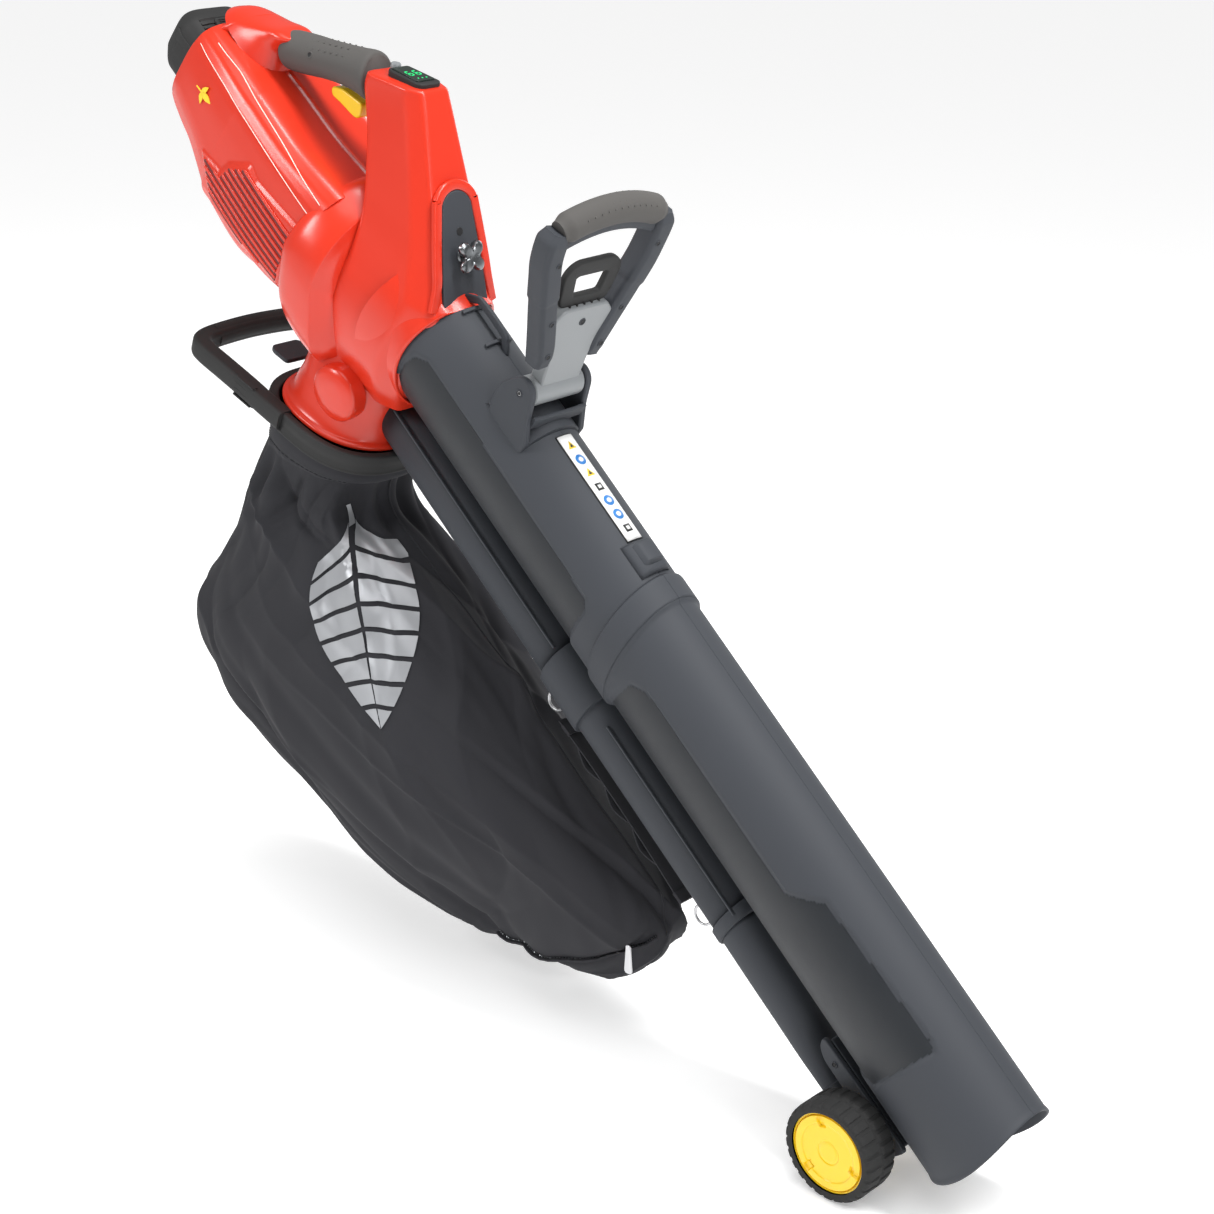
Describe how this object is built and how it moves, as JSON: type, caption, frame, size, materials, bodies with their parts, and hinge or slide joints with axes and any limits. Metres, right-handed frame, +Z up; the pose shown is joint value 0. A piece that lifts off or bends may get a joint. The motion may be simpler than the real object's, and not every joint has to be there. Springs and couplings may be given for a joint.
{
  "type": "leaf blower",
  "caption": "Wheeled cordless garden blower and vacuum with battery, main grip and trigger, tilting front handle, suction tube, blow tube and hanging collection bag.",
  "frame": {"origin": "on the ground below the middle of the tool, in its walking position on the wheels", "axes": "+X forwards towards the nozzle, +Y to the user's left, +Z up"},
  "size_m": [1.0813, 0.204, 0.9588],
  "materials": {
    "red_plastic": "glossy moulded plastic",
    "tube_plastic": "satin moulded plastic",
    "black_plastic": "satin moulded plastic",
    "soft_grip": "matt soft-touch",
    "yellow_plastic": "glossy moulded plastic",
    "tyre_rubber": "matt",
    "steel": "plated",
    "grey_plastic": "satin",
    "bag_fabric": "woven",
    "webbing": "woven strap",
    "display_window": "clear dark window",
    "circuit_board": "satin",
    "label_film": "printed film"
  },
  "bodies": {
    "housing": {"axle": "steel", "axle_bracket": "tube_plastic", "battery_terminal": "black_plastic", "blow_nozzle": "tube_plastic", "blow_tube_lower": "tube_plastic", "blow_tube_upper": "tube_plastic", "circuit_board": "circuit_board", "collar_latch": "tube_plastic", "display_bezel": "black_plastic", "display_window": "display_window", "grip_core": "red_plastic", "handle_bracket": "tube_plastic", "hinge_pin": "steel", "label_plate": "label_film", "motor_bearing": "steel", "motor_can": "steel", "motor_housing_left": "red_plastic", "motor_housing_right": "red_plastic", "motor_mount": "black_plastic", "outlet_elbow": "red_plastic", "rear_rim": "red_plastic", "rear_riser": "red_plastic", "scroll_front": "red_plastic", "scroll_rear": "red_plastic", "soft_grip": "soft_grip", "strap_rib": "tube_plastic", "suction_tube_lower": "tube_plastic", "suction_tube_upper": "tube_plastic", "tower_left": "red_plastic", "tower_right": "red_plastic", "tube_tongue": "tube_plastic", "tube_web_lower": "tube_plastic", "tube_web_upper": "tube_plastic"},
    "rotor": {"motor_shaft": "steel", "impeller": "black_plastic"},
    "trigger": {"trigger": "yellow_plastic"},
    "speed_button": {"speed_button": "black_plastic"},
    "battery": {"battery_pack": "black_plastic"},
    "battery_release": {"battery_release": "black_plastic"},
    "star_knob": {"star_knob": "black_plastic"},
    "front_handle": {"handle_neck": "grey_plastic", "handle_frame": "tube_plastic", "handle_grip": "soft_grip"},
    "tilt_release": {"tilt_release": "black_plastic"},
    "wheel_left": {"tyre_left": "tyre_rubber", "rim_left": "yellow_plastic"},
    "wheel_right": {"tyre_right": "tyre_rubber", "rim_right": "yellow_plastic"},
    "bag": {"bag_frame": "black_plastic", "collection_bag": "bag_fabric", "bag_strap": "webbing"},
    "bag_catch": {"bag_catch": "black_plastic"},
    "zipper_pull": {"zipper_pull": "steel"},
    "hook_ring_upper": {"hook_ring_upper": "steel"},
    "hook_ring_lower": {"hook_ring_lower": "steel"}
  },
  "joints": [
    {"name": "fan_spin", "type": "hinge", "parent": "housing", "child": "rotor", "pos_m": [-0.30343, 0, 0.7533], "axis": [0.749, 0, -0.6626], "continuous": true},
    {"name": "trigger_pull", "type": "hinge", "parent": "housing", "child": "trigger", "pos_m": [-0.30863, 0, 0.89382], "axis": [0, -1, 0], "range_deg": [0, 8], "stiffness_Nm_per_rad": 0.15},
    {"name": "speed_button_press", "type": "slide", "parent": "housing", "child": "speed_button", "axis": [-0.2264, 0, -0.974], "range_m": [0, 0.0015], "stiffness_N_per_m": 400},
    {"name": "battery_slide", "type": "slide", "parent": "housing", "child": "battery", "axis": [-0.749, 0, 0.6626], "range_m": [0, 0.145]},
    {"name": "battery_release_press", "type": "slide", "parent": "battery", "child": "battery_release", "axis": [-0.6626, 0, -0.749], "range_m": [0, 0.002], "stiffness_N_per_m": 500},
    {"name": "star_knob_turn", "type": "hinge", "parent": "housing", "child": "star_knob", "pos_m": [-0.13962, 0, 0.75651], "axis": [0.9945, 0, 0.1045], "continuous": true},
    {"name": "front_handle_tilt", "type": "hinge", "parent": "housing", "child": "front_handle", "pos_m": [-0.0274, 0, 0.65329], "axis": [0, 1, 0], "range_deg": [-30, 70]},
    {"name": "tilt_release_pull", "type": "slide", "parent": "front_handle", "child": "tilt_release", "axis": [0.4194, 0, 0.9078], "range_m": [0, 0.008], "stiffness_N_per_m": 300},
    {"name": "wheel_left_spin", "type": "hinge", "parent": "housing", "child": "wheel_left", "pos_m": [0.38367, 0.061, 0.04793], "axis": [0, 1, 0], "continuous": true},
    {"name": "wheel_right_spin", "type": "hinge", "parent": "housing", "child": "wheel_right", "pos_m": [0.38367, -0.061, 0.04793], "axis": [0, 1, 0], "continuous": true},
    {"name": "bag_frame_slide", "type": "slide", "parent": "housing", "child": "bag", "axis": [-0.3584, 0, -0.9336], "range_m": [0, 0.05]},
    {"name": "bag_catch_lift", "type": "hinge", "parent": "bag", "child": "bag_catch", "pos_m": [-0.38341, 0, 0.61173], "axis": [0, 1, 0], "range_deg": [0, 20], "stiffness_Nm_per_rad": 0.2},
    {"name": "zipper_pull_swing", "type": "hinge", "parent": "bag", "child": "zipper_pull", "pos_m": [0.1124, -0.043, 0.13624], "axis": [0, 1, 0], "range_deg": [-25, 25]},
    {"name": "hook_ring_upper_swing", "type": "hinge", "parent": "housing", "child": "hook_ring_upper", "pos_m": [-0.02293, 0, 0.3469], "axis": [0, 1, 0], "range_deg": [-10, 4]},
    {"name": "hook_ring_lower_swing", "type": "hinge", "parent": "housing", "child": "hook_ring_lower", "pos_m": [0.16879, 0, 0.18329], "axis": [0, 1, 0], "range_deg": [-10, 4]}
  ]
}
